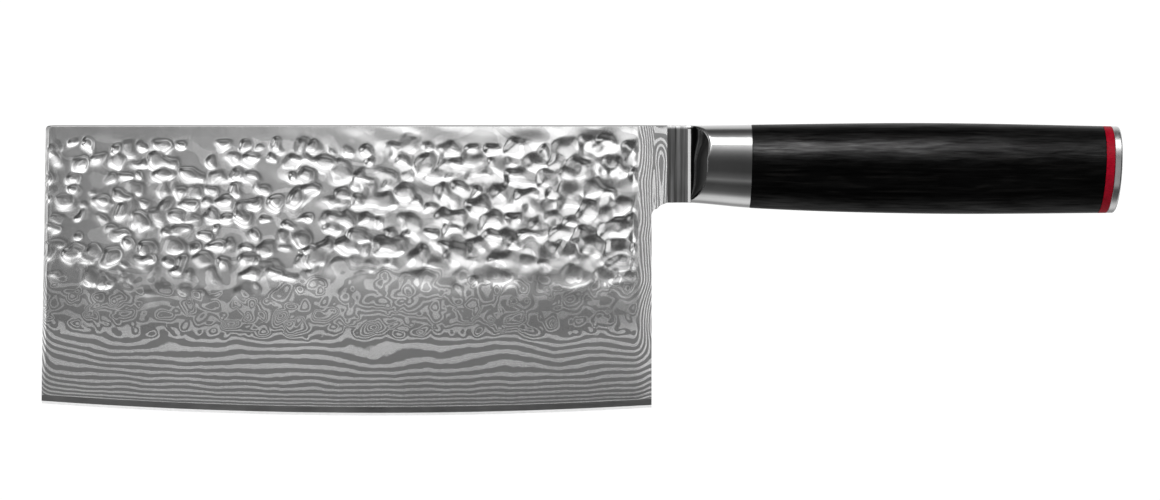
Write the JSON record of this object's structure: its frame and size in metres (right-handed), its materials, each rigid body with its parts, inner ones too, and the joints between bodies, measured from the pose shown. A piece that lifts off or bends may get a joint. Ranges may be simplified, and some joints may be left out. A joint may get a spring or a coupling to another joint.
{
  "type": "cleaver",
  "caption": "Rectangular kitchen cleaver with a hammered layered-steel blade, scooped steel bolster, oval black wood grip, red spacer and steel end cap.",
  "frame": {"origin": "middle of the overall length, on the symmetry plane of the blade, at the height of the board that the belly of the edge touches", "axes": "+X from the blade to the handle, +Y through the blade towards its far face, +Z from the cutting edge to the spine"},
  "size_m": [0.323, 0.022, 0.0878],
  "materials": {
    "layered_steel": "hammered, ground and etched layered steel",
    "core_steel": "etched core steel, bright at the sharpened edge",
    "polished_steel": "polished",
    "plain_steel": "machined",
    "black_wood": "laminated, resin-filled, satin",
    "red_fibre": "satin vulcanised fibre",
    "resin": "cast"
  },
  "bodies": {
    "root": {"blade_core": "core_steel", "near_cladding": "layered_steel", "far_cladding": "layered_steel", "bolster": "polished_steel", "tang": "plain_steel", "tang_bedding": "resin", "grip": "black_wood", "clamp_washer": "plain_steel", "clamp_nut": "plain_steel", "spacer_ring": "red_fibre", "end_cap": "polished_steel"}
  },
  "joints": []
}
